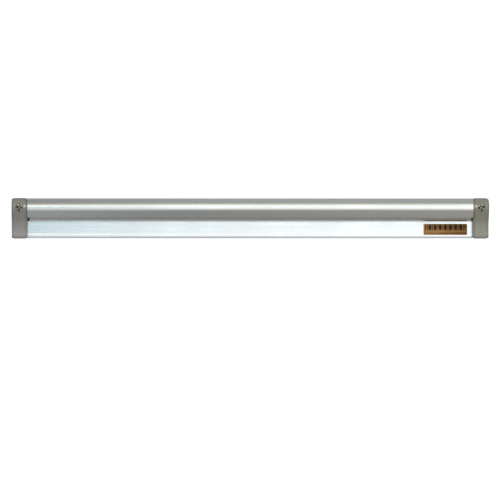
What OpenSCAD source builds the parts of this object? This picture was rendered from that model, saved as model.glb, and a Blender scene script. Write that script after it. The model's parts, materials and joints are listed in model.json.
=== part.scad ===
// Order ticket rail: an extruded aluminium rail with a row of loose glass marbles under its hood.
// What is pushed up behind the hood's lip lifts the marbles, which then wedge it against the plate.
// X runs along the rail, the front faces -Y, the wall is the plane y = 0, and Z is up.
// Outlines are drawn as [depth from the wall, height above the rail's middle].

/* [Rail] */
// Length over both end caps
overall_length = 609.6; // [300:0.1:1830]
// Height of the rail
rail_height = 51.2; // [46:0.1:62]
// Thickness of the back plate
plate_t = 2; // [1.6:0.1:3]
// Radius on the two back edges
back_edge_r = 0.4; // [0.2:0.1:0.6]
// Radius of the sweep that kicks the plate's foot forward
foot_sweep_r = 17; // [13:0.5:22]
// Angle of that sweep
foot_angle = 10; // [8:1:16]
// Radius of the rounded front below the sweep
foot_front_r = 5.4; // [4.5:0.1:8]
// Direction, below the horizontal, where that front ends
foot_turn = 36; // [28:1:42]
// Radius on the foot's bottom edge
foot_edge_r = 0.5; // [0.3:0.1:0.8]

/* [Hood] */
// Wall thickness of the hood
hood_t = 1.6; // [1.2:0.1:2.2]
// Rise of the crown above the top of the nose circle
crown_rise = 1.8; // [1:0.1:4]
// Direction, above the horizontal, where the crown runs into the nose
crown_angle = 60; // [50:1:68]
// Radius of the fillet between the plate and the ceiling of the race
ceiling_fillet_r = 1.2; // [0.6:0.1:2]
// Slope of the front wall from the vertical, which wedges the marbles
race_angle = 32; // [28:1:38]
// Straight length of the front wall
wall_length = 8; // [6:0.1:12]
// Outer radius of the lip's inward curl
curl_r = 12; // [9:0.1:13]
// Direction, below the horizontal, where the curl ends
curl_angle = 80; // [65:1:85]
// Length of the notch in the lip at each end
notch_length = 2.2; // [1.5:0.1:3]
// Height of that notch above the lip's lower edge
notch_height = 4.6; // [3:0.1:7]

/* [Marbles] */
// Diameter of a marble
marble_d = 16; // [14:0.1:18]
// Least gap between neighbouring marbles
marble_gap = 1.2; // [0.5:0.1:4]
// Gap between a resting marble and the faces that carry it
race_clearance = 0.15; // [0.1:0.05:0.3]
// Thickness that fits between the plate and a fully lifted marble
grip_room = 1.5; // [1:0.1:3]
// Radius of the nose's inside beyond the marble's own
nose_play = 0.4; // [0.35:0.05:1]

/* [End caps] */
// Width of an end cap along the rail
cap_width = 20.3; // [18:0.1:30]
// How far a cap stands proud of the rail's outline
cap_proud = 0.4; // [0.3:0.1:1.5]
// Wall thickness of a cap
cap_wall = 2; // [1.6:0.1:2.4]
// Width of the bevel along a cap's side edges
cap_bevel = 3.2; // [2:0.1:4]
// Angle of that bevel
cap_bevel_angle = 20; // [12:1:30]
// Radius where the bevel meets the side
cap_edge_r = 0.8; // [0.4:0.1:1.2]
// Depth of a cap's lower part
cap_foot_depth = 12; // [9:0.1:14]
// Radius of the hollow sweep between the nose and the lower part
cap_sweep_r = 18; // [12:0.5:22]
// Radius on the lower part's bottom edge
cap_base_r = 2.9; // [2.9:0.1:4.4]
// Thickness of the ribs inside a cap
rib_t = 1.6; // [1.2:0.1:2]
// Height of the lower cross rib above a cap's bottom
low_rib_height = 13; // [8:0.5:16]
// Length of the spigot that enters the hood
spigot_length = 8; // [5:0.1:12]
// Wall thickness of the spigot
spigot_wall = 1.5; // [1.2:0.1:2]
// Gap between the spigot and the hood
spigot_clearance = 0.15; // [0.1:0.05:0.3]
// Height of the spigot's floor above the end of the straight wall
spigot_floor_rise = 0.6; // [0.3:0.1:2]
// Length of the tongue that closes the slot's end behind the notch
tongue_length = 3.2; // [3.1:0.1:5]
// Thickness of that tongue in front of the plate
tongue_t = 2.4; // [1.5:0.1:2.6]

/* [Screws] */
// Diameter of a screw's head
head_d = 9.4; // [8:0.1:10.5]
// Height of a screw's head
head_h = 2.9; // [2.4:0.1:3.4]
// Height of the head's straight rim
head_rim = 1.5; // [0.5:0.1:1.8]
// Diameter of the plain shank
shank_d = 4.1; // [3.4:0.1:4.4]
// Diameter over the thread
thread_d = 4.8; // [4.5:0.1:5]
// Length of the thread behind the wall face, less its point
thread_length = 22; // [12:1:40]
// Length of the point
point_length = 5; // [3:0.5:8]
// Diameter of the point's blunt end
point_d = 0.4; // [0.2:0.1:1]
// Length of a wing of the cross recess, across the head
recess_span = 6.4; // [4:0.1:7]
// Width of a wing of the cross recess
recess_width = 1.7; // [0.8:0.1:2]
// Diameter of the recess's round middle, at the head's top
recess_core_d = 3.6; // [2.6:0.1:4]
// Depth of the cross recess
recess_depth = 2; // [1.2:0.1:2.2]
// Gap round the thread in the cap's screw hole
hole_clearance = 0.3; // [0.2:0.05:0.5]
// Gap round the head in its counterbore
head_clearance = 0.3; // [0.2:0.1:0.8]
// Depth of the head's seat behind the cap's nose
seat_drop = 3.6; // [2.4:0.1:5]
// Thickness of plastic under the head
seat_t = 2.6; // [2:0.1:4]
// Wall thickness of the screw boss
boss_wall = 1.8; // [1.4:0.1:2.2]

/* [Label] */
// Length of the label
label_length = 56; // [30:0.5:80]
// Thickness of the label
label_t = 0.25; // [0.15:0.05:0.4]
// Thickness of the adhesive under it
adhesive_t = 0.02; // [0.01:0.01:0.05]
// Distance of the label from the right end cap
label_margin = 6.5; // [2:0.1:40]
// Distance of the label's top below the hood's lip
label_drop = 3.3; // [2:0.1:5]
// Distance of the label's lower edge above the foot's rounded front
label_rise = 0.1; // [0.1:0.1:2]
// Radius of the label's corners
label_corner_r = 1; // [0.4:0.1:2]

/* [Hidden] */
$fn = 48;
arc_step = 5;
edge_steps = 6;
cut = 1;
aluminium = [0.80, 0.82, 0.83];
cap_grey = [0.55, 0.54, 0.51];
zinc = [0.70, 0.70, 0.67];
glass = [0.66, 0.84, 0.80];
foil = [0.52, 0.38, 0.22];

// Points of an arc about c from angle a0 to a1
function arc(c, r, a0, a1) =
    let (n = max(1, ceil(abs(a1 - a0) / arc_step)))
    [for (i = [0 : n]) let (a = a0 + (a1 - a0) * i / n) c + r * [cos(a), sin(a)]];

// Circles of the hood's section
top_z = rail_height / 2;
marble_r = marble_d / 2;
nose_r = marble_r + nose_play + hood_t;
nose_c = [plate_t + marble_r + grip_room, top_z - crown_rise - nose_r];
crown_r = nose_r + crown_rise / (1 - sin(crown_angle));
crown_c = nose_c - (crown_r - nose_r) * [cos(crown_angle), sin(crown_angle)];
wall_out = [cos(race_angle), -sin(race_angle)];
wall_up = [sin(race_angle), cos(race_angle)];
curl_c = nose_c + (nose_r - curl_r) * wall_out - wall_length * wall_up;
lip_c = curl_c + (curl_r - hood_t / 2) * [cos(curl_angle), -sin(curl_angle)];
lip_z = lip_c.y - hood_t / 2;

// Height of the foot's sweep centre above its bottom, with radius edge_r on the bottom edge
function foot_rise(edge_r) =
    edge_r + (foot_front_r - edge_r) * sin(foot_turn) + (foot_front_r + foot_sweep_r) * sin(foot_angle);

// Outline of a foot, from its bottom up to the face above it, drawn in by inset
function foot_outline(centre, edge_r, inset = 0) =
    let (
        front_c = centre - (foot_front_r + foot_sweep_r) * [cos(foot_angle), sin(foot_angle)],
        edge_c = front_c + (foot_front_r - edge_r) * [cos(foot_turn), -sin(foot_turn)])
    concat(
        arc(edge_c, edge_r - inset, -90, -foot_turn),
        arc(front_c, foot_front_r - inset, -foot_turn, foot_angle),
        arc(centre, foot_sweep_r + inset, 180 + foot_angle, 180));

// Sweep centre of the rail's foot
foot_c = [plate_t + foot_sweep_r, foot_rise(foot_edge_r) - top_z];

// Fillet between the plate and the ceiling
ceiling_r = crown_r - hood_t;
fillet_d = plate_t + ceiling_fillet_r;
fillet_c = [fillet_d, crown_c.y + sqrt(pow(ceiling_r - ceiling_fillet_r, 2) - pow(fillet_d - crown_c.x, 2))];
fillet_a = atan2(fillet_c.y - crown_c.y, fillet_c.x - crown_c.x);

// Section of the rail, from the back of its foot round to the back of its top
rail_outline = concat(
    arc([back_edge_r, back_edge_r - top_z], back_edge_r, 180, 270),
    foot_outline(foot_c, foot_edge_r),
    arc(fillet_c, ceiling_fillet_r, 180, fillet_a),
    arc(crown_c, ceiling_r, fillet_a, crown_angle),
    arc(nose_c, nose_r - hood_t, crown_angle, -race_angle),
    arc(curl_c, curl_r - hood_t, -race_angle, -curl_angle),
    arc(lip_c, hood_t / 2, 180 - curl_angle, 360 - curl_angle),
    arc(curl_c, curl_r, -curl_angle, -race_angle),
    arc(nose_c, nose_r, -race_angle, crown_angle),
    arc(crown_c, crown_r, crown_angle, 90),
    arc([back_edge_r, top_z - back_edge_r], back_edge_r, 90, 180));

// Lengths along the rail
rail_length = overall_length - 2 * cap_width;
race_length = rail_length - 2 * spigot_length;
screw_x = (overall_length - cap_width) / 2;

// Marbles at rest on the front wall and the plate
marble_count = floor(race_length / (marble_d + marble_gap));
marble_pitch = race_length / marble_count;
marble_rest_d = plate_t + marble_r + race_clearance;
marble_rest_z = nose_c.y
    + ((marble_rest_d - nose_c.x) * wall_out.x - nose_play + race_clearance) / wall_up.x;

// Seat of a screw's head, in depth from the wall
screw_z = nose_c.y;
cap_front = nose_c.x + nose_r + cap_proud;
seat_depth = cap_front - seat_drop;
hole_r = thread_d / 2 + hole_clearance;
counterbore_r = head_d / 2 + head_clearance;

// Sweep centres of a cap's front: its hollow below the nose, and its foot
cap_half_h = top_z + cap_proud;
cap_foot_c = [cap_foot_depth + foot_sweep_r, foot_rise(cap_base_r) - cap_half_h];
sweep_d = cap_foot_depth + cap_sweep_r;
sweep_c = [
    sweep_d,
    nose_c.y + ((sweep_d - nose_c.x) * wall_out.x - nose_r - cap_proud - cap_sweep_r) / wall_up.x];

// Side outline of a cap, drawn in by inset and run out behind the wall face by back
function cap_outline(inset, back = 0) = concat(
    [[-back, inset - cap_half_h]],
    foot_outline(cap_foot_c, cap_base_r, inset),
    arc(sweep_c, cap_sweep_r + inset, 180, 180 - race_angle),
    arc(nose_c, nose_r + cap_proud - inset, -race_angle, crown_angle),
    arc(crown_c, crown_r + cap_proud - inset, crown_angle, 90),
    [[-back, cap_half_h - inset]]);

// Places along a cap, from its inner face, with the outline's inset there: a round edge, then the bevel
edge_turn = 90 - cap_bevel_angle;
bevel_start = cap_edge_r * (1 - cos(edge_turn));
side_inset = (cap_bevel - bevel_start) * tan(cap_bevel_angle) + cap_edge_r * sin(edge_turn);
round_edge = [for (i = [0 : edge_steps]) let (a = edge_turn * i / edge_steps)
    [cap_edge_r * (1 - cos(a)), side_inset - cap_edge_r * sin(a)]];
edge_in = concat(round_edge, [[cap_bevel, 0]]);
edge_out = [for (i = [len(edge_in) - 1 : -1 : 0]) [cap_width - edge_in[i].x, edge_in[i].y]];
cap_rings = concat(edge_in, edge_out);

// Section of the space inside the hood, drawn in by inset, above a floor
wall_end_z = nose_c.y - (nose_r - hood_t) * wall_up.x - wall_length * wall_up.y;
spigot_floor = wall_end_z + spigot_floor_rise;
function race_outline(inset, floor_z) =
    let (
        r_nose = nose_r - hood_t - inset,
        r_crown = ceiling_r - inset,
        back_d = plate_t + inset,
        corner_d = back_d + ceiling_fillet_r,
        corner_a = acos((corner_d - crown_c.x) / r_crown),
        run = (nose_c.y - r_nose * wall_up.x - floor_z) / wall_up.y)
    concat(
        [[back_d, floor_z], nose_c + r_nose * wall_out - run * wall_up],
        arc(nose_c, r_nose, -race_angle, crown_angle),
        arc(crown_c, r_crown, crown_angle, corner_a),
        [[back_d, crown_c.y + r_crown * sin(corner_a) - ceiling_fillet_r]]);

// Section of the tongue that hangs from the spigot's floor
tongue_back = plate_t + spigot_clearance;
tongue_front = tongue_back + tongue_t;
tongue_top = spigot_floor + spigot_wall / 2;
tongue_outline = [
    [tongue_back, lip_z],
    [tongue_front, lip_z],
    [tongue_front, tongue_top],
    [tongue_back, tongue_top]];

function marble_name(i) = str("marble_", i < 9 ? "0" : "", i + 1);
MARBLES = [for (i = [0 : marble_count - 1]) marble_name(i)];

// Runs a [depth, height] outline along X
module along_x(x0, x1) {
    translate([x0, 0, 0]) rotate([90, 0, 90]) linear_extrude(x1 - x0) mirror([1, 0]) children();
}

// Cylinder along the screw's axis, between two depths from the wall
module along_screw(r, d0, d1) {
    translate([cap_width / 2, -d0, screw_z]) rotate([90, 0, 0]) cylinder(r = r, h = d1 - d0);
}

module rail_extrusion() {
    color(aluminium) difference() {
        along_x(-rail_length / 2, rail_length / 2) polygon(rail_outline);
        for (side = [-1, 1])
            translate([side * rail_length / 2 - notch_length, -cap_front, lip_z - cut])
                cube([2 * notch_length, cap_front - plate_t - cut, notch_height + cut]);
    }
}

// Body of a cap, lofted through its rings: inner face at x = 0, outer face at x = cap_width
module cap_body() {
    size = len(cap_outline(0));
    last = len(cap_rings) - 1;
    points = [for (ring = cap_rings, p = cap_outline(ring.y)) [ring.x, -p.x, p.y]];
    sides = [for (k = [0 : last - 1], j = [0 : size - 1])
        let (next = (j + 1) % size)
        [k * size + j, k * size + next, (k + 1) * size + next, (k + 1) * size + j]];
    inner_end = [for (j = [size - 1 : -1 : 0]) j];
    outer_end = [for (j = [0 : size - 1]) last * size + j];
    polyhedron(points, concat(sides, [inner_end, outer_end]));
}

// Hollow of a cap, open at the back, round its screw boss and ribs
module cap_hollow() {
    rib_x = (cap_width - rib_t) / 2;
    difference() {
        along_x(cap_wall, cap_width - cap_wall) polygon(cap_outline(cap_wall, cut));
        along_screw(hole_r + boss_wall, 0, cap_front);
        along_screw(counterbore_r + boss_wall, seat_depth - seat_t, cap_front);
        translate([rib_x, -cap_front, -cap_half_h]) cube([rib_t, cap_front, 2 * cap_half_h]);
        for (z = [screw_z, low_rib_height - cap_half_h])
            translate([0, -cap_front, z - rib_t / 2]) cube([cap_width, cap_front, rib_t]);
    }
}

module end_cap() {
    difference() {
        union() {
            difference() {
                cap_body();
                cap_hollow();
            }
            along_x(-spigot_length, cap_wall)
                polygon(race_outline(spigot_clearance, spigot_floor));
            along_x(-tongue_length, cap_wall) polygon(tongue_outline);
        }
        along_x(spigot_wall - spigot_length, cap_wall + cut)
            polygon(race_outline(spigot_clearance + spigot_wall, spigot_floor + spigot_wall));
        along_screw(hole_r, -cut, cap_front);
        along_screw(counterbore_r, seat_depth, cap_front + cut);
    }
}

module right_end_cap() {
    color(cap_grey) translate([rail_length / 2, 0, 0]) end_cap();
}

module left_end_cap() {
    color(cap_grey) mirror([1, 0, 0]) translate([rail_length / 2, 0, 0]) end_cap();
}

// Pan-head screw along Z: head above z = 0, thread below the wall face
module wall_screw() {
    head_r = head_d / 2;
    dome = head_h - head_rim;
    dome_r = (head_r * head_r + dome * dome) / (2 * dome);
    difference() {
        intersection() {
            cylinder(r = head_r, h = head_h);
            translate([0, 0, head_h - dome_r]) sphere(dome_r);
        }
        for (turn = [0, 90])
            rotate([0, 0, turn]) translate([-recess_span / 2, -recess_width / 2, head_h - recess_depth])
                cube([recess_span, recess_width, recess_depth + cut]);
        translate([0, 0, head_h - recess_depth])
            cylinder(d1 = recess_width, d2 = recess_core_d, h = recess_depth);
    }
    translate([0, 0, -seat_depth]) cylinder(d = shank_d, h = seat_depth);
    translate([0, 0, -seat_depth - thread_length]) cylinder(d = thread_d, h = thread_length);
    translate([0, 0, -seat_depth - thread_length - point_length])
        cylinder(d1 = point_d, d2 = thread_d, h = point_length);
}

module placed_screw(side) {
    color(zinc) translate([side * screw_x, -seat_depth, screw_z]) rotate([90, 0, 0]) wall_screw();
}

module left_wall_screw() {
    placed_screw(-1);
}

module right_wall_screw() {
    placed_screw(1);
}

// Label that follows the plate down into the foot's sweep
module label() {
    label_top = lip_z - label_drop;
    end_a = foot_angle - asin(label_rise / foot_sweep_r);
    label_low = foot_c.y - foot_sweep_r * sin(end_a);
    label_right = rail_length / 2 - label_margin;
    label_left = label_right - label_length;
    x0 = label_left + label_corner_r;
    x1 = label_right - label_corner_r;
    z0 = label_low + label_corner_r;
    z1 = label_top - label_corner_r;
    face = concat(
        arc([x1, z1], label_corner_r, 0, 90),
        arc([x0, z1], label_corner_r, 90, 180),
        arc([x0, z0], label_corner_r, 180, 270),
        arc([x1, z0], label_corner_r, 270, 360));
    inner = arc(foot_c, foot_sweep_r - adhesive_t, 180 + end_a, 180);
    outer = arc(foot_c, foot_sweep_r - adhesive_t - label_t, 180, 180 + end_a);
    color(foil) intersection() {
        along_x(label_left - cut, label_right + cut) polygon(concat(
            inner,
            [[plate_t + adhesive_t, label_top + cut], [plate_t + adhesive_t + label_t, label_top + cut]],
            outer));
        rotate([90, 0, 0]) linear_extrude(cap_front) polygon(face);
    }
}

module marble(i) {
    x = (i - (marble_count - 1) / 2) * marble_pitch;
    color(glass) translate([x, -marble_rest_d, marble_rest_z]) sphere(marble_r);
}

rail_extrusion();
left_end_cap();
right_end_cap();
left_wall_screw();
right_wall_screw();
label();
for (i = [0 : marble_count - 1])
    marble(i);
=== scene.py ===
"""Looks of the order ticket rail: finishes, threaded wall screws, cat's-eye marbles, studio and camera.

Sizes are in metres, in the part's own frame. X runs along the rail, the front faces -Y, the wall's face
is at y = 0, and Z is up.
"""

import json
import math
import random

import bpy
from mathutils import Matrix, Vector


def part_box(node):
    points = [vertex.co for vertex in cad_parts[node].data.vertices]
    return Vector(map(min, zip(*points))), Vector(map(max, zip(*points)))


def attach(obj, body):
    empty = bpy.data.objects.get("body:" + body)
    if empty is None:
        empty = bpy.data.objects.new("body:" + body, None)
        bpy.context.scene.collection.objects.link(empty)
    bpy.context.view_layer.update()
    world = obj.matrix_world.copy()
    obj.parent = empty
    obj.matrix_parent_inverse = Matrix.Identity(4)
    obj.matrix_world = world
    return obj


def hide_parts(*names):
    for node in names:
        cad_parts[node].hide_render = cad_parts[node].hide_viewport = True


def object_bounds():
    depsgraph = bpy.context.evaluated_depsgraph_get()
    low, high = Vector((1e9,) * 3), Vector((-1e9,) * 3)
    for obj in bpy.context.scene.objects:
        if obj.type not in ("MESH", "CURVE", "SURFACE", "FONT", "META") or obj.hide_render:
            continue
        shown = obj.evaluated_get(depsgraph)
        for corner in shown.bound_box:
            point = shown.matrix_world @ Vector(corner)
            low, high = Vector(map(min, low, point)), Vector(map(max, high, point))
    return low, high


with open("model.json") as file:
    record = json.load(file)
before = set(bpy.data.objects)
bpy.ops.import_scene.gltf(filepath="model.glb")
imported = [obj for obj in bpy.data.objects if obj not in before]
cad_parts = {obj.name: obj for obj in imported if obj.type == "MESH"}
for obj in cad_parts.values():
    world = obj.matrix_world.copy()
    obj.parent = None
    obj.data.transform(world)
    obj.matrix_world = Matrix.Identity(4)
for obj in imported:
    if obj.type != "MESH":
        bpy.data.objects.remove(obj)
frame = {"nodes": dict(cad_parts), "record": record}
cad_low, cad_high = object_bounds()
nodes = frame["nodes"]
MM = 0.001


def srgb(red, green, blue):
    """A colour written as it reads on screen, 0 to 255, as the linear colour that a socket takes."""
    shares = [c / 255 for c in (red, green, blue)]
    return tuple(s / 12.92 if s <= 0.04045 else ((s + 0.055) / 1.055) ** 2.4 for s in shares) + (1.0,)


def grey(level):
    """A neutral linear colour."""
    return (level, level, level, 1.0)


# Camera: the picture's side, and the rail's span and place in it
PICTURE_SIDE_PX = 500
RAIL_SPAN_PX = 478.3
RAIL_RISE_PX = 31.8  # the rail's middle above the picture's middle
RAIL_SHIFT_PX = 0.3  # and right of it
CAMERA_DISTANCE = 5.0
CAMERA_TURN = math.radians(-1.7)
SENSOR_MM = 36.0

# Places of the wall screws, from their mount
screw_mount = next(m for m in frame["record"]["mounts"] if m["name"] == "wall_screws")
SCREW_X = screw_mount["dims"]["spacing_x_mm"] / 2 * MM
SCREW_Z = screw_mount["pos_m"][2]

# Wall screws, along their own Z: head above the seat, thread behind the wall face
HEAD_R = 4.7 * MM
HEAD_H = 2.9 * MM
SEAT_DEPTH = -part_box("left_wall_screw")[0].y - HEAD_H
HEAD_RIM = 2.0 * MM
HEAD_EDGE = 0.25 * MM
DOME_FALL = (HEAD_H - HEAD_RIM) / HEAD_R ** 2
DOME_STEPS = 8
TURNING_PITCH = 0.22 * MM
SHANK_R = 2.05 * MM
SHANK_FILLET = 0.4 * MM
FILLET_MIDDLE = 0.3
CREST_R = 2.4 * MM
CORE_R = 1.75 * MM
THREAD_PITCH = 1.8 * MM
THREAD_LENGTH = 22 * MM
THREAD_STEP = 0.15 * MM
THREAD_SHARE = 0.42
POINT_LENGTH = 5 * MM
POINT_R = 0.2 * MM
SCREW_COLUMNS = 40
RECESS_SPAN = 10.0 * MM
RECESS_WIDTH = 3.7 * MM
RECESS_DEPTH = 2.1 * MM
RECESS_TAPER = 0.55
RECESS_TURNS = {"left": -12, "right": 16}  # degrees

# Painted shade and shadow on the screws' heads, in their own frame: where each mask of it starts and ends
RECESS_SHADE_DEPTH = (0.02 * RECESS_DEPTH, 0.15 * RECESS_DEPTH)
RECESS_SHADE_R = (HEAD_R - 0.3 * MM, HEAD_R - 0.6 * MM)
HEAD_SHADE_Z = (-0.2 * MM, 0.1 * MM)
SHADED_BELOW_Y = (0.28 * RECESS_SPAN, 0.16 * RECESS_SPAN)
LIT_MIDDLE_R = (0.06 * RECESS_SPAN, 0.16 * RECESS_SPAN)
SOFTER_LOW_WING_Y = (-0.1 * RECESS_SPAN, -0.2 * RECESS_SPAN)
LOW_RIM_Y = (-0.6 * HEAD_R, -0.78 * HEAD_R)
LOW_RIM_X = (0.5 * HEAD_R, 0.25 * HEAD_R)

# Vanes of coloured glass inside each marble
VANE_COUNT = 3
VANE_LENGTH = 11.5 * MM
VANE_REACH = 5.0 * MM
VANE_TIP = 0.05  # share of the reach at the vane's two ends
VANE_FULLNESS = 0.7
VANE_THICKNESS = 0.7 * MM
VANE_TWIST = math.radians(70)
VANE_ROWS = 13
VANE_COLUMNS = 5
VANE_SEED = 7
VANE_COLOURS = {
    "teal": (srgb(24, 104, 112), srgb(92, 168, 166)),
    "amber": (srgb(176, 108, 30), srgb(226, 178, 92)),
    "white": (srgb(206, 206, 198), srgb(240, 238, 230)),
    "green": (srgb(40, 110, 52), srgb(126, 176, 92)),
}

# Edges between finishes: how soft they are, and the depth over which the rail's back finish takes over
SOFT_EDGE = 0.1 * MM
BACK_SKIN = (-0.3 * MM, -0.1 * MM)

# Caps: where they start and end, measured from the rail's middle, and where painted shade and painted
# light fall on them
CAP_INNER_X = -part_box("rail_extrusion")[0].x
CAP_OUTER_X = cad_high.x
CAP_BEVEL = 3.2 * MM
CAP_EDGE_SHARE = 0.8
COUNTERBORE_R = 5.0 * MM
FOOT_LIGHT_Z = (-9.0 * MM, -17.0 * MM)
FOOT_LIGHT_WAVER = 3.0 * MM
# Painted highlight on the cap's nose beside the screw: its place, and the radii where it is full and where
# it ends
NOSE_HIGHLIGHT_X = SCREW_X - 6.6 * MM
NOSE_HIGHLIGHT_Z = SCREW_Z + 1.6 * MM
NOSE_HIGHLIGHT_R = (2.8 * MM, 0.8 * MM)

# Label's pattern; values without MM are shares of its height (Z, HALF) or of half a pitch (SLANT, EDGE)
LABEL_ROW_Z = 0.7
LABEL_ROW_HALF = 0.27
LABEL_ROW_MARGIN = 2.2 * MM
LABEL_HALF_PITCH = 3.3 * MM
LOZENGE_SLANT = 0.35
LOZENGE_EDGE = (0.72, 0.62)
BAR_EDGE = (0.84, 0.9)
LABEL_LINE_Z = 0.33
LABEL_LINE_HALF = 0.4 * MM
LABEL_LINE_MARGIN = 3.0 * MM
LABEL_HALF_DASH = 0.9 * MM
DASH_EDGE = (0.25 * MM, 0.4 * MM)
LABEL_BAND_Z = 0.13
LABEL_BAND_HALF = 0.08
LABEL_BAND_MARGIN = 1.6 * MM

# Shading: the sharpest bends that are smoothed, on the frame's pieces and on meshes made here
SMOOTH_ANGLE = math.radians(17)
CREASE_ANGLE = math.radians(35)
JOIN_DISTANCE = 0.002 * MM  # corners of the frame's pieces nearer than this are one

# Studio: the floor, and the world's bright front and horizon by direction
FLOOR_DROP = 1.5
FLOOR_HALF = 60.0
FLOOR_TONE = 0.75
FLOOR_GLOW = 0.8
FRONT_EDGE = (-0.42, -1.0)
HORIZON_EDGE = (0.30, 0.17)
WORLD_GREY = (0.365, 0.373, 0.35, 1.0)
WORLD_COOL = (1.11, 1.195, 1.295, 1.0)
WORLD_WARM = (1.28, 1.25, 1.13, 1.0)
WARM_RISE = (0.0, 0.4)

# Low card: the dim ground that the hood's front wall mirrors
LOW_CARD_HALF = 1.6
LOW_CARD_DROP = 0.3
LOW_CARD_FRONT = -1.6
LOW_CARD_BACK = 0.5
LOW_CARD_FADE = (-1.15, -0.25)
LOW_CARD_LEFT_FADE = (-1.45, 0.12)
LOW_CARD_LEFT = (-0.05, -0.3)
LOW_CARD_SIDES = (-0.35, 0.35)
LOW_CARD_UNDER = (-0.14, -0.08)
LOW_CARD_COOL = (0.2, 0.217, 0.22, 1.0)
LOW_CARD_WARM = (0.322, 0.306, 0.274, 1.0)
LOW_CARD_DARK = (0.186, 0.181, 0.172, 1.0)

# High card: a dimmer ceiling over the left half, for the hood's crown
HIGH_CARD_RISE = 1.0
HIGH_CARD_FRONT = -1.35
HIGH_CARD_BACK = 1.0
HIGH_CARD_LEFT = -2.0
HIGH_CARD_FADE = (0.05, -0.45)
HIGH_CARD_COLOUR = (0.25, 0.26, 0.25, 1.0)

# Side card: cools and dims the plate towards its left end
SIDE_CARD_Y = -2.5
SIDE_CARD_LOW = -0.7
SIDE_CARD_HIGH = 0.3
SIDE_CARD_LEFT = -2.0
SIDE_CARD_FADE = (-0.12, -0.4)
SIDE_CARD_COLOUR = (0.1, 0.33, 0.45, 1.0)

# Foot card: a pale strip below the rail, which softens the dark line along its foot
FOOT_CARD_Y = -11 * MM
FOOT_CARD_LOW = cad_low.z - 16 * MM
FOOT_CARD_HIGH = cad_low.z - 3 * MM
FOOT_CARD_COLOUR = (0.6, 0.605, 0.6, 1.0)

# Key light
KEY_PLACE = (0.5, -2.2, 1.6)
KEY_SIZE = 1.8
KEY_WATTS = 14.0


# Node trees

def add(tree, kind, inputs=None, **settings):
    """A new node. inputs maps a socket's name or number to a constant, or to another node's socket."""
    node = tree.nodes.new(kind)
    for name, value in settings.items():
        setattr(node, name, value)
    for key, value in (inputs or {}).items():
        if isinstance(value, bpy.types.NodeSocket):
            tree.links.new(value, node.inputs[key])
        else:
            node.inputs[key].default_value = value
    return node


def calc(tree, operation, *values):
    """One step of arithmetic."""
    return add(tree, "ShaderNodeMath", dict(enumerate(values)), operation=operation).outputs[0]


def ramp(tree, value, start, end, low=0.0, high=1.0):
    """value, taken smoothly from low at start to high at end."""
    inputs = {"Value": value, "From Min": start, "From Max": end, "To Min": low, "To Max": high}
    return add(tree, "ShaderNodeMapRange", inputs, interpolation_type="SMOOTHSTEP").outputs["Result"]


def mix(tree, share, first, second):
    """The colour between first and second."""
    return add(tree, "ShaderNodeMix", {0: share, 6: first, 7: second}, data_type="RGBA").outputs[2]


def layer(tree, under, over, mask, strength):
    """The colour under, with over laid on it at that strength where mask is 1."""
    return mix(tree, calc(tree, "MULTIPLY", mask, strength), under, over)


def distance(tree, first, second):
    """Length of the two numbers taken as the sides of a right angle."""
    squares = [calc(tree, "MULTIPLY", side, side) for side in (first, second)]
    return calc(tree, "SQRT", calc(tree, "ADD", *squares))


def place(tree):
    """The point on the surface, in the piece's own frame."""
    return add(tree, "ShaderNodeTexCoord").outputs["Object"]


def axes(tree, vector):
    """The three numbers of a vector."""
    return add(tree, "ShaderNodeSeparateXYZ", {0: vector}).outputs


def noise(tree, grains_per_metre, detail=3.0, low=0.36, high=0.64):
    """Noise with that many grains per metre along X, Y and Z, stretched to run from 0 to 1."""
    vector = add(tree, "ShaderNodeMapping", {"Vector": place(tree), "Scale": grains_per_metre}).outputs[0]
    raw = add(tree, "ShaderNodeTexNoise", {"Vector": vector, "Scale": 1.0, "Detail": detail}).outputs[0]
    return ramp(tree, raw, low, high)


def bump(tree, height, depth, normal=None):
    """A surface normal pushed about by height, which stands for depth metres."""
    inputs = {"Height": height, "Distance": depth, "Strength": 1.0}
    if normal is not None:
        inputs["Normal"] = normal
    return add(tree, "ShaderNodeBump", inputs).outputs[0]


def new_material(name, **constants):
    """A material with its shader; constants go straight onto the shader's sockets."""
    material = bpy.data.materials.new(name)
    material.use_nodes = True
    shader = material.node_tree.nodes["Principled BSDF"]
    for socket, value in constants.items():
        shader.inputs[socket.replace("_", " ")].default_value = value
    return material, material.node_tree, shader


def wire(tree, shader, **sockets):
    """Links sockets into the shader, by name."""
    for name, socket in sockets.items():
        tree.links.new(socket, shader.inputs[name.replace("_", " ")])


# Finishes

def aluminium():
    """Clear-anodised extrusion: lines from the die along X, faint clouds, rub marks, and a greyer back."""
    material, tree, shader = new_material("satin_aluminium", Metallic=1.0)
    behind = ramp(tree, axes(tree, place(tree))["Y"], *BACK_SKIN)
    die_lines = noise(tree, (4, 640, 640), detail=4)
    hairlines = noise(tree, (14, 4200, 4200), detail=2)
    clouds = noise(tree, (16, 16, 16), detail=4)
    rubs = noise(tree, (520, 520, 11), detail=3, low=0.6, high=0.72)

    tone = mix(tree, die_lines, srgb(242, 244, 243), srgb(250, 251, 250))
    tone = layer(tree, tone, srgb(237, 240, 241), clouds, 0.35)
    mill = mix(tree, die_lines, srgb(150, 153, 156), srgb(186, 189, 191))
    tone = layer(tree, tone, mill, behind, 0.85)
    satin = calc(tree, "MULTIPLY_ADD", hairlines, 0.06, 0.25)
    satin = calc(tree, "MULTIPLY_ADD", clouds, 0.05, satin)
    satin = calc(tree, "MULTIPLY_ADD", rubs, -0.05, satin)
    relief = bump(tree, die_lines, 0.003 * MM)
    relief = bump(tree, hairlines, 0.0016 * MM, relief)
    wire(tree, shader, Base_Color=tone, Roughness=satin, Normal=relief)
    return material


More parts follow.
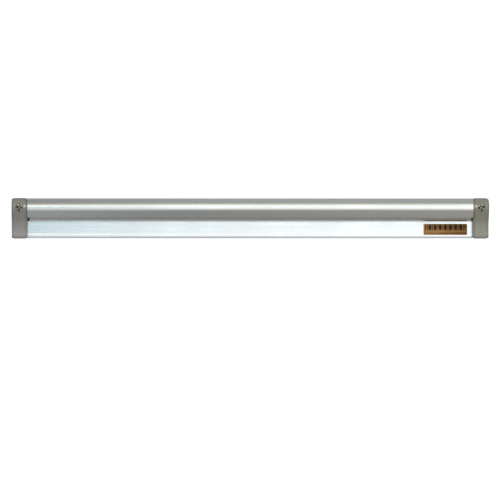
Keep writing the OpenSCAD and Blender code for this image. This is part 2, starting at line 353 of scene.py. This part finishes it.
def cap_plastic():
    """Warm grey moulding with spark grain and cloudy pigment; painted shade darkens its bevelled edges,
    and the right cap is painted lighter and warmer for the light from the right.

    Painted light makes it paler towards the foot and on the nose beside the screw; painted shade darkens
    it inside the rail and faintly in the counterbore.
    """
    material, tree, shader = new_material("cap_plastic")
    grain = noise(tree, (1900, 1900, 1900), detail=2)
    pigment = noise(tree, (70, 70, 70), detail=5)
    mottle = noise(tree, (260, 260, 260), detail=4, low=0.42, high=0.62)
    here = axes(tree, place(tree))
    along = calc(tree, "ABSOLUTE", here["X"])

    # Painted shade: darker bevels along the inner and, less so, the outer side edge
    edge_x = CAP_EDGE_SHARE * CAP_BEVEL
    inner_bevel_shade = ramp(tree, along, CAP_INNER_X + CAP_BEVEL, CAP_INNER_X + edge_x)
    outer_bevel_shade = ramp(tree, along, CAP_OUTER_X - CAP_BEVEL, CAP_OUTER_X - edge_x)
    bevel_shade = calc(tree, "MAXIMUM", inner_bevel_shade, calc(tree, "MULTIPLY", outer_bevel_shade, 0.6))
    bevel_shade = calc(tree, "MULTIPLY", bevel_shade, calc(tree, "MULTIPLY_ADD", mottle, 0.3, 0.7))

    # Painted shade: darker on the part inside the rail, and faintly in the counterbore
    in_rail = ramp(tree, along, CAP_INNER_X, CAP_INNER_X - 2 * SOFT_EDGE)
    off_x = calc(tree, "SUBTRACT", along, SCREW_X)
    off_z = calc(tree, "SUBTRACT", here["Z"], SCREW_Z)
    from_screw = distance(tree, off_x, off_z)
    in_bore = ramp(tree, from_screw, COUNTERBORE_R + SOFT_EDGE, COUNTERBORE_R - SOFT_EDGE)
    painted_shade = calc(tree, "MAXIMUM", in_rail, calc(tree, "MULTIPLY", in_bore, 0.05))

    # Painted light: paler towards the foot, with a wavy edge
    uneven_z = calc(tree, "MULTIPLY_ADD", mottle, FOOT_LIGHT_WAVER, here["Z"])
    foot_light = ramp(tree, uneven_z, *FOOT_LIGHT_Z)
    foot_light = calc(tree, "MULTIPLY", foot_light, calc(tree, "MULTIPLY_ADD", mottle, 0.08, 0.2))
    # Painted highlight on the cap's nose beside the screw
    highlight_dx = calc(tree, "SUBTRACT", along, NOSE_HIGHLIGHT_X)
    highlight_dz = calc(tree, "SUBTRACT", here["Z"], NOSE_HIGHLIGHT_Z)
    nose_highlight = ramp(tree, distance(tree, highlight_dx, highlight_dz), *NOSE_HIGHLIGHT_R)

    # Painted light: the right cap lighter and warmer than the left
    right_side_light = ramp(tree, here["X"], -SCREW_X, SCREW_X)
    tone = mix(tree, right_side_light, srgb(144, 140, 136), srgb(149, 145, 132))
    tone = layer(tree, tone, srgb(160, 157, 147), pigment, 0.3)
    # painted shade on the bevels
    tone = layer(tree, tone, srgb(98, 94, 86), bevel_shade, 0.4)
    foot_light_tone = mix(tree, right_side_light, srgb(196, 196, 197), srgb(178, 175, 167))
    # painted light towards the foot
    tone = mix(tree, foot_light, tone, foot_light_tone)
    # painted highlight on the nose
    tone = layer(tree, tone, srgb(226, 223, 214), nose_highlight, 0.7)
    # painted shade inside the rail and the counterbore
    tone = layer(tree, tone, srgb(90, 86, 77), painted_shade, 0.9)
    satin = calc(tree, "MULTIPLY_ADD", pigment, 0.06, 0.44)
    satin = calc(tree, "MULTIPLY_ADD", painted_shade, 0.3, satin)
    relief = bump(tree, grain, 0.012 * MM)
    relief = bump(tree, pigment, 0.03 * MM, relief)
    wire(tree, shader, Base_Color=tone, Roughness=satin, Normal=relief)
    return material


def zinc_steel():
    """Dull zinc plate on a turned head.

    Painted shade darkens the cross recess, more below than above and little in its lit middle, and a
    painted shadow darkens the bottom of the rim.
    """
    material, tree, shader = new_material("zinc_steel", Metallic=1.0)
    here = axes(tree, place(tree))
    radius = distance(tree, here["X"], here["Y"])
    blotches = noise(tree, (900, 900, 900), detail=4)
    turned = calc(tree, "SINE", calc(tree, "MULTIPLY", radius, 2 * math.pi / TURNING_PITCH))

    dome_z = calc(tree, "MULTIPLY_ADD", calc(tree, "MULTIPLY", radius, radius), -DOME_FALL, HEAD_H)
    depth = calc(tree, "SUBTRACT", dome_z, here["Z"])
    # Painted shade in the cross recess: darker below, little in the lit middle, weaker on the lowest wing
    deep = ramp(tree, depth, *RECESS_SHADE_DEPTH)
    recess_shade = calc(tree, "MULTIPLY", deep, ramp(tree, radius, *RECESS_SHADE_R))
    on_head = ramp(tree, here["Z"], *HEAD_SHADE_Z)
    shaded_below = ramp(tree, here["Y"], *SHADED_BELOW_Y, low=0.1)
    outside_lit_middle = ramp(tree, radius, *LIT_MIDDLE_R, low=0.1)
    softer_low_wing = ramp(tree, here["Y"], *SOFTER_LOW_WING_Y, low=1.0, high=0.6)
    painted_shade = recess_shade
    for share in (on_head, shaded_below, outside_lit_middle, softer_low_wing):
        painted_shade = calc(tree, "MULTIPLY", painted_shade, share)

    # Painted shadow under the bottom of the head's rim
    below = ramp(tree, here["Y"], *LOW_RIM_Y)
    middle = ramp(tree, calc(tree, "ABSOLUTE", here["X"]), *LOW_RIM_X)
    rim_shadow = calc(tree, "MULTIPLY", calc(tree, "MULTIPLY", below, middle), on_head)
    painted_shade = calc(tree, "MAXIMUM", painted_shade, calc(tree, "MULTIPLY", rim_shadow, 0.65))

    tone = mix(tree, blotches, srgb(170, 167, 157), srgb(202, 200, 190))
    # painted shade and shadow laid on the zinc
    tone = layer(tree, tone, srgb(18, 15, 11), painted_shade, 0.98)
    dull = calc(tree, "MULTIPLY_ADD", blotches, 0.12, 0.26)
    dull = calc(tree, "MULTIPLY_ADD", painted_shade, 0.3, dull)
    relief = bump(tree, turned, 0.003 * MM)
    relief = bump(tree, blotches, 0.008 * MM, relief)
    wire(tree, shader, Base_Color=tone, Roughness=dull, Normal=relief)
    return material


def label_foil():
    """Bronze foil: blunt lozenges parted by thin bars, a dashed line below, and a darker bottom band."""
    material, tree, shader = new_material("label_foil", Specular_IOR_Level=0.15)
    low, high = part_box("label")
    here = axes(tree, place(tree))
    across = calc(tree, "SUBTRACT", here["X"], (low.x + high.x) / 2)
    up = calc(tree, "SUBTRACT", here["Z"], low.z)
    half_length = (high.x - low.x) / 2
    height = high.z - low.z
    row_z = LABEL_ROW_Z * height
    row_half = LABEL_ROW_HALF * height

    brushed = noise(tree, (60, 3000, 3000), detail=3)
    patina = noise(tree, (150, 150, 150), detail=4)
    foil = mix(tree, ramp(tree, across, -half_length, half_length), srgb(172, 128, 74), srgb(118, 80, 40))
    foil = layer(tree, foil, srgb(190, 146, 92), brushed, 0.3)
    foil = layer(tree, foil, srgb(92, 62, 32), patina, 0.3)

    def band(z, half, margin):
        """1 within half of that height, as far as that margin from the label's ends."""
        reach = half_length - margin
        off = calc(tree, "ABSOLUTE", calc(tree, "SUBTRACT", up, z))
        inside = ramp(tree, calc(tree, "ABSOLUTE", across), reach, reach - 2 * SOFT_EDGE)
        return calc(tree, "MULTIPLY", ramp(tree, off, half, half - SOFT_EDGE), inside)

    cell = calc(tree, "DIVIDE", calc(tree, "PINGPONG", across, LABEL_HALF_PITCH), LABEL_HALF_PITCH)
    off_row = calc(tree, "DIVIDE", calc(tree, "ABSOLUTE", calc(tree, "SUBTRACT", up, row_z)), row_half)
    slant = calc(tree, "MULTIPLY_ADD", off_row, LOZENGE_SLANT, cell)
    shapes = calc(tree, "MAXIMUM", ramp(tree, slant, *LOZENGE_EDGE), ramp(tree, cell, *BAR_EDGE))
    row = calc(tree, "MULTIPLY", shapes, band(row_z, row_half, LABEL_ROW_MARGIN))
    dark = band(LABEL_BAND_Z * height, LABEL_BAND_HALF * height, LABEL_BAND_MARGIN)
    ink = calc(tree, "MAXIMUM", row, calc(tree, "MULTIPLY", dark, 0.25))
    dash = ramp(tree, calc(tree, "PINGPONG", across, LABEL_HALF_DASH), *DASH_EDGE)
    pale = calc(tree, "MULTIPLY", band(LABEL_LINE_Z * height, LABEL_LINE_HALF, LABEL_LINE_MARGIN), dash)

    tone = layer(tree, foil, srgb(34, 19, 7), ink, 0.92)
    tone = layer(tree, tone, srgb(204, 166, 112), pale, 0.7)
    shine = calc(tree, "MULTIPLY_ADD", brushed, 0.08, 0.36)
    shine = calc(tree, "MULTIPLY_ADD", ink, 0.16, shine)
    metal = calc(tree, "MULTIPLY_ADD", calc(tree, "MAXIMUM", ink, pale), -0.35, 0.35)
    relief = bump(tree, ink, 0.01 * MM)
    wire(tree, shader, Base_Color=tone, Roughness=shine, Metallic=metal, Normal=relief)
    return material


def marble_glass():
    """Clear bottle-tinted glass with fine scuffs from years of rolling."""
    material, tree, shader = new_material("marble_glass", Transmission_Weight=1.0, IOR=1.52)
    scuffs = noise(tree, (900, 900, 900), detail=5, low=0.55, high=0.7)
    tint = mix(tree, noise(tree, (110, 110, 110)), srgb(226, 243, 237), srgb(236, 248, 244))
    wire(tree, shader, Base_Color=tint, Roughness=calc(tree, "MULTIPLY", scuffs, 0.12))
    return material


def vane_glass(name, colour, paler):
    """Opaque coloured glass, streaked along the vane."""
    material, tree, shader = new_material(name, IOR=1.52)
    streaks = noise(tree, (900, 900, 120), detail=4)
    tone = mix(tree, streaks, colour, paler)
    wire(tree, shader, Base_Color=tone, Roughness=calc(tree, "MULTIPLY_ADD", streaks, 0.15, 0.15))
    return material


# Meshes

def new_piece(name, points, faces, material):
    """A mesh piece, shaded smooth over its shallow bends."""
    mesh = bpy.data.meshes.new(name)
    mesh.from_pydata(points, [], faces)
    mesh.shade_smooth()
    mesh.set_sharp_from_angle(angle=CREASE_ANGLE)
    mesh.materials.append(material)
    piece = bpy.data.objects.new(name, mesh)
    bpy.context.scene.collection.objects.link(piece)
    return piece


def lathe_faces(ring_count, columns):
    """Faces of a closed turned shape: a first point, rings of that many columns, and a last point."""
    last = 1 + ring_count * columns
    faces = []
    for j in range(columns):
        after = (j + 1) % columns
        faces.append((0, 1 + j, 1 + after))
        for i in range(ring_count - 1):
            ring = 1 + i * columns
            faces.append((ring + j, ring + columns + j, ring + columns + after, ring + after))
        ring = last - columns
        faces.append((ring + j, last, ring + after))
    return faces


def cut(piece, cutter):
    """Takes the cutter's shape out of the piece for good."""
    change = piece.modifiers.new("cut", "BOOLEAN")
    change.object = cutter
    change.solver = "EXACT"
    graph = bpy.context.evaluated_depsgraph_get()
    carved = bpy.data.meshes.new_from_object(piece.evaluated_get(graph))
    piece.modifiers.clear()
    piece.data = carved
    bpy.data.objects.remove(cutter)


def recess_wing(turn, material):
    """One tapered bar of the cross recess, turned about the screw's axis."""
    spin = Matrix.Rotation(turn, 3, "Z")
    points = []
    for z, share in ((HEAD_H - RECESS_DEPTH, RECESS_TAPER), (HEAD_H + HEAD_RIM, 1.0)):
        length = share * RECESS_SPAN / 2
        width = share * RECESS_WIDTH / 2
        for x, y in ((-length, -width), (length, -width), (length, width), (-length, width)):
            points.append(spin @ Vector((x, y, z)))
    faces = [(3, 2, 1, 0), (4, 5, 6, 7), (0, 1, 5, 4), (1, 2, 6, 5), (2, 3, 7, 6), (3, 0, 4, 7)]
    return new_piece("recess_wing", points, faces, material)


def thread_radius(behind, angle):
    """Radius of the right-hand thread at that distance behind the wall face and that angle."""
    left = (THREAD_LENGTH + POINT_LENGTH - behind) / POINT_LENGTH
    point = min(1.0, left)
    run_in = min(1.0, behind / THREAD_PITCH)
    phase = (behind / THREAD_PITCH + angle / (2 * math.pi)) % 1
    ridge = max(0.0, 1 - abs(2 * phase - 1) / THREAD_SHARE)
    core = POINT_R + (SHANK_R + (CORE_R - SHANK_R) * run_in - POINT_R) * point
    return core + (CREST_R - CORE_R) * ridge * run_in * math.sqrt(point)


def screw_rings():
    """The screw's rings from its dome down to its point, each a height and a radius by angle."""
    dome = HEAD_H - HEAD_RIM
    dome_r = (HEAD_R ** 2 + dome ** 2) / (2 * dome)
    dome_end = math.asin(HEAD_R / dome_r)
    turned = []
    for i in range(1, DOME_STEPS + 1):
        a = dome_end * i / DOME_STEPS
        turned.append((HEAD_H - dome_r * (1 - math.cos(a)), dome_r * math.sin(a)))
    turned += [
        (HEAD_EDGE, HEAD_R),
        (0.0, HEAD_R - HEAD_EDGE),
        (0.0, SHANK_R + SHANK_FILLET),
        (-FILLET_MIDDLE * SHANK_FILLET, SHANK_R + FILLET_MIDDLE * SHANK_FILLET),
        (-SHANK_FILLET, SHANK_R),
    ]
    rings = [(z, [r] * SCREW_COLUMNS) for z, r in turned]
    length = THREAD_LENGTH + POINT_LENGTH
    steps = round(length / THREAD_STEP)
    angles = [2 * math.pi * j / SCREW_COLUMNS for j in range(SCREW_COLUMNS)]
    for i in range(steps):
        behind = length * i / steps
        rings.append((-SEAT_DEPTH - behind, [thread_radius(behind, a) for a in angles]))
    return rings


def wall_screw(side, x, material):
    """A pan-head screw with its cross recess and thread, seated in the cap at x."""
    rings = screw_rings()
    points = [(0.0, 0.0, HEAD_H)]
    for height, radii in rings:
        for j, r in enumerate(radii):
            a = 2 * math.pi * j / SCREW_COLUMNS
            points.append((r * math.cos(a), r * math.sin(a), height))
    points.append((0.0, 0.0, -SEAT_DEPTH - THREAD_LENGTH - POINT_LENGTH))
    screw = new_piece(f"{side}_threaded_screw", points, lathe_faces(len(rings), SCREW_COLUMNS), material)
    for quarter in (0, 90):
        cut(screw, recess_wing(math.radians(RECESS_TURNS[side] + quarter), material))
    screw.data.set_sharp_from_angle(angle=CREASE_ANGLE)
    screw.rotation_euler = (math.pi / 2, 0, 0)
    screw.location = (x, -SEAT_DEPTH, SCREW_Z)
    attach(screw, "rail")
    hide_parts(f"{side}_wall_screw")


def vane_mesh():
    """Twisted vanes that meet on the marble's axis."""
    points, faces = [], []
    for k in range(VANE_COUNT):
        first = len(points)
        for i in range(VANE_ROWS):
            u = i / (VANE_ROWS - 1)
            swell = math.sin(math.pi * u) ** VANE_FULLNESS
            reach = VANE_REACH * (VANE_TIP + (1 - VANE_TIP) * swell)
            angle = 2 * math.pi * k / VANE_COUNT + VANE_TWIST * (u - 0.5)
            for j in range(VANE_COLUMNS):
                r = reach * j / (VANE_COLUMNS - 1)
                points.append((r * math.cos(angle), r * math.sin(angle), VANE_LENGTH * (u - 0.5)))
        for i in range(VANE_ROWS - 1):
            for j in range(VANE_COLUMNS - 1):
                corner = first + i * VANE_COLUMNS + j
                faces.append((corner, corner + 1, corner + VANE_COLUMNS + 1, corner + VANE_COLUMNS))
    mesh = bpy.data.meshes.new("marble_vanes")
    mesh.from_pydata(points, [], faces)
    mesh.shade_smooth()
    return mesh


def marbles(glass, vane_glasses):
    """Glass on every marble, and vanes inside it, each turned its own way."""
    turns = random.Random(VANE_SEED)
    mesh = vane_mesh()
    names = sorted(name for name in nodes if name.startswith("marble_"))
    for i, name in enumerate(names):
        dress(nodes[name], glass)
        low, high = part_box(name)
        vanes = bpy.data.objects.new(f"{name}_vanes", mesh.copy())
        bpy.context.scene.collection.objects.link(vanes)
        vanes.data.materials.append(vane_glasses[i % len(vane_glasses)])
        thick = vanes.modifiers.new("thickness", "SOLIDIFY")
        thick.thickness = VANE_THICKNESS
        thick.offset = 0
        rounding = vanes.modifiers.new("rounding", "SUBSURF")
        rounding.levels = 1
        rounding.render_levels = 1
        vanes.location = (low + high) / 2
        vanes.rotation_euler = [turns.uniform(0, 2 * math.pi) for _ in range(3)]
        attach(vanes, name)


# The frame's own pieces

def smooth_group():
    """Modifier that joins the split corners of a mesh and shades it smooth, up to a set angle."""
    group = bpy.data.node_groups.new("smooth_shading", "GeometryNodeTree")
    for way in ("INPUT", "OUTPUT"):
        group.interface.new_socket("Geometry", in_out=way, socket_type="NodeSocketGeometry")
    start = add(group, "NodeGroupInput").outputs[0]
    inputs = {"Geometry": start, "Name": "custom_normal"}
    plain = add(group, "GeometryNodeRemoveAttribute", inputs).outputs[0]
    inputs = {"Geometry": plain, "Distance": JOIN_DISTANCE}
    joined = add(group, "GeometryNodeMergeByDistance", inputs).outputs[0]
    bend = add(group, "GeometryNodeInputMeshEdgeAngle").outputs["Unsigned Angle"]
    inputs = {0: bend, 1: SMOOTH_ANGLE}
    shallow = add(group, "FunctionNodeCompare", inputs, operation="LESS_THAN").outputs[0]
    faces = add(group, "GeometryNodeSetShadeSmooth", {"Geometry": joined}, domain="FACE").outputs[0]
    inputs = {"Geometry": faces, "Shade Smooth": shallow}
    edges = add(group, "GeometryNodeSetShadeSmooth", inputs, domain="EDGE").outputs[0]
    add(group, "NodeGroupOutput", {0: edges})
    return group


def dress(node, material, smoothing=None):
    """Gives a node of the frame its finish and, with a smoothing group, soft shading over its facets."""
    node.data.materials.clear()
    node.data.materials.append(material)
    if smoothing:
        node.modifiers.new("smooth_shading", "NODES").node_group = smoothing
        weighted = node.modifiers.new("flat_faces", "WEIGHTED_NORMAL")
        weighted.mode = "FACE_AREA_WITH_ANGLE"
        weighted.keep_sharp = True


# Studio

def stage_sheet(name, corners, material):
    """A flat four-cornered sheet that isn't part of the object."""
    mesh = bpy.data.meshes.new(name)
    mesh.from_pydata(corners, [], [(0, 1, 2, 3)])
    mesh.materials.append(material)
    sheet = bpy.data.objects.new(name, mesh)
    bpy.context.scene.collection.objects.link(sheet)
    return sheet


def level(left, right, front, back, z):
    """Corners of a level sheet at that height."""
    return [(left, front, z), (right, front, z), (right, back, z), (left, back, z)]


def upright(left, right, y, low, high):
    """Corners of an upright sheet along the rail."""
    return [(left, y, low), (right, y, low), (right, y, high), (left, y, high)]


def bare_material(name):
    """A material with an empty node tree."""
    material = bpy.data.materials.new(name)
    material.use_nodes = True
    material.node_tree.nodes.clear()
    return material, material.node_tree


def floor_finish():
    """Matt pale floor that reads white where it is seen, straight or mirrored, and still takes shadows."""
    material, tree = bare_material("floor")
    ray = add(tree, "ShaderNodeLightPath").outputs
    seen = calc(tree, "MAXIMUM", ray["Is Camera Ray"], ray["Is Glossy Ray"])
    seen = calc(tree, "MAXIMUM", seen, ray["Is Transmission Ray"])
    matt = add(tree, "ShaderNodeBsdfDiffuse", {"Color": grey(FLOOR_TONE)}).outputs[0]
    strength = calc(tree, "MULTIPLY", seen, FLOOR_GLOW)
    glow = add(tree, "ShaderNodeEmission", {"Color": grey(1.0), "Strength": strength}).outputs[0]
    both = add(tree, "ShaderNodeAddShader", {0: matt, 1: glow}).outputs[0]
    add(tree, "ShaderNodeOutputMaterial", {"Surface": both})
    return material


def card_finish(name, fade, colour):
    """Glow of a reflector card; fade and colour make its share and its colour in the node tree."""
    material, tree = bare_material(name)
    here = axes(tree, place(tree))
    glow = add(tree, "ShaderNodeEmission", {"Color": colour(tree, here), "Strength": 1.0}).outputs[0]
    clear = add(tree, "ShaderNodeBsdfTransparent").outputs[0]
    surface = add(tree, "ShaderNodeMixShader", {0: fade(tree, here), 1: clear, 2: glow}).outputs[0]
    add(tree, "ShaderNodeOutputMaterial", {"Surface": surface})
    return material


def low_card_fade(tree, here):
    """Share of the low card, from its front towards the wall, with a longer fade on the left."""
    leftward = ramp(tree, here["X"], *LOW_CARD_LEFT)
    ends = [calc(tree, "MULTIPLY_ADD", leftward, left - middle, middle)
            for left, middle in zip(LOW_CARD_LEFT_FADE, LOW_CARD_FADE)]
    return ramp(tree, here["Y"], *ends)


def low_card_colour(tree, here):
    """Cool on the left, warm on the right, and darker under the rail."""
    open_part = mix(tree, ramp(tree, here["X"], *LOW_CARD_SIDES), LOW_CARD_COOL, LOW_CARD_WARM)
    return mix(tree, ramp(tree, here["Y"], *LOW_CARD_UNDER), open_part, LOW_CARD_DARK)


def plain_card(colour, ends=None):
    """Fade along X, if it has ends, and fixed colour of a plain card, as card_finish takes them."""
    def fade(tree, here):
        return ramp(tree, here["X"], *ends) if ends else 1.0

    return fade, lambda tree, here: colour


def reflector_card(name, corners, fade, colour):
    """A card that shows only in reflections, as a studio flag held out of the picture does."""
    card = stage_sheet(name, corners, card_finish(name, fade, colour))
    card.visible_camera = False
    card.visible_diffuse = False
    card.visible_transmission = False
    card.visible_shadow = False


def studio_world():
    """White in front and round the horizon, cool low down and warm higher up, fading to grey elsewhere."""
    world = bpy.data.worlds.new("studio")
    bpy.context.scene.world = world
    world.use_nodes = True
    tree = world.node_tree
    tree.nodes.clear()
    direction = axes(tree, add(tree, "ShaderNodeTexCoord").outputs["Generated"])
    front = ramp(tree, direction["Y"], *FRONT_EDGE)
    horizon = ramp(tree, calc(tree, "ABSOLUTE", direction["Z"]), *HORIZON_EDGE)
    white = calc(tree, "MAXIMUM", front, horizon)
    lit = mix(tree, ramp(tree, direction["Z"], *WARM_RISE), WORLD_COOL, WORLD_WARM)
    colour = mix(tree, white, WORLD_GREY, lit)
    sky = add(tree, "ShaderNodeBackground", {"Color": colour, "Strength": 1.0}).outputs[0]
    add(tree, "ShaderNodeOutputWorld", {"Surface": sky})


def soft_lamp(name, where, size, watts):
    """A square soft box aimed at the rail, kept out of the metal's reflections."""
    lamp = bpy.data.lights.new(name, "AREA")
    lamp.size = size
    lamp.energy = watts
    holder = bpy.data.objects.new(name, lamp)
    holder.location = where
    holder.rotation_euler = (-Vector(where)).to_track_quat("-Z", "Y").to_euler()
    holder.visible_glossy = False
    bpy.context.scene.collection.objects.link(holder)


def camera():
    """Level, a touch left of square to the rail, placed so that the rail sits where the picture has it."""
    width = (cad_high.x - cad_low.x) * PICTURE_SIDE_PX / RAIL_SPAN_PX
    pixel = width / PICTURE_SIDE_PX
    lens = bpy.data.cameras.new("camera")
    lens.sensor_width = SENSOR_MM
    lens.lens = SENSOR_MM * CAMERA_DISTANCE / width
    holder = bpy.data.objects.new("camera", lens)
    square_on = Vector((-RAIL_SHIFT_PX * pixel, cad_low.y - CAMERA_DISTANCE, -RAIL_RISE_PX * pixel))
    holder.location = Matrix.Rotation(CAMERA_TURN, 3, "Z") @ square_on
    holder.rotation_euler = (math.pi / 2, 0, CAMERA_TURN)
    bpy.context.scene.collection.objects.link(holder)
    bpy.context.scene.camera = holder


def studio():
    """Floor, cards, world and lamp."""
    corners = level(-FLOOR_HALF, FLOOR_HALF, -FLOOR_HALF, FLOOR_HALF, -FLOOR_DROP)
    stage_sheet("floor", corners, floor_finish())

    corners = level(-LOW_CARD_HALF, LOW_CARD_HALF, LOW_CARD_FRONT, LOW_CARD_BACK, -LOW_CARD_DROP)
    reflector_card("low_card", corners, low_card_fade, low_card_colour)

    corners = level(HIGH_CARD_LEFT, HIGH_CARD_FADE[0], HIGH_CARD_FRONT, HIGH_CARD_BACK, HIGH_CARD_RISE)
    reflector_card("high_card", corners, *plain_card(HIGH_CARD_COLOUR, HIGH_CARD_FADE))

    corners = upright(SIDE_CARD_LEFT, SIDE_CARD_FADE[0], SIDE_CARD_Y, SIDE_CARD_LOW, SIDE_CARD_HIGH)
    reflector_card("side_card", corners, *plain_card(SIDE_CARD_COLOUR, SIDE_CARD_FADE))

    corners = upright(-CAP_INNER_X, CAP_INNER_X, FOOT_CARD_Y, FOOT_CARD_LOW, FOOT_CARD_HIGH)
    reflector_card("foot_card", corners, *plain_card(FOOT_CARD_COLOUR))

    studio_world()
    soft_lamp("key_light", KEY_PLACE, KEY_SIZE, KEY_WATTS)
    bpy.context.scene.view_settings.view_transform = "Standard"


# Assembly

smoothing = smooth_group()
dress(nodes["rail_extrusion"], aluminium(), smoothing)
plastic = cap_plastic()
for side in ("left", "right"):
    dress(nodes[f"{side}_end_cap"], plastic, smoothing)
dress(nodes["label"], label_foil(), smoothing)

zinc = zinc_steel()
wall_screw("left", -SCREW_X, zinc)
wall_screw("right", SCREW_X, zinc)

marbles(marble_glass(), [vane_glass(f"vane_{name}", *colours) for name, colours in VANE_COLOURS.items()])
studio()
camera()
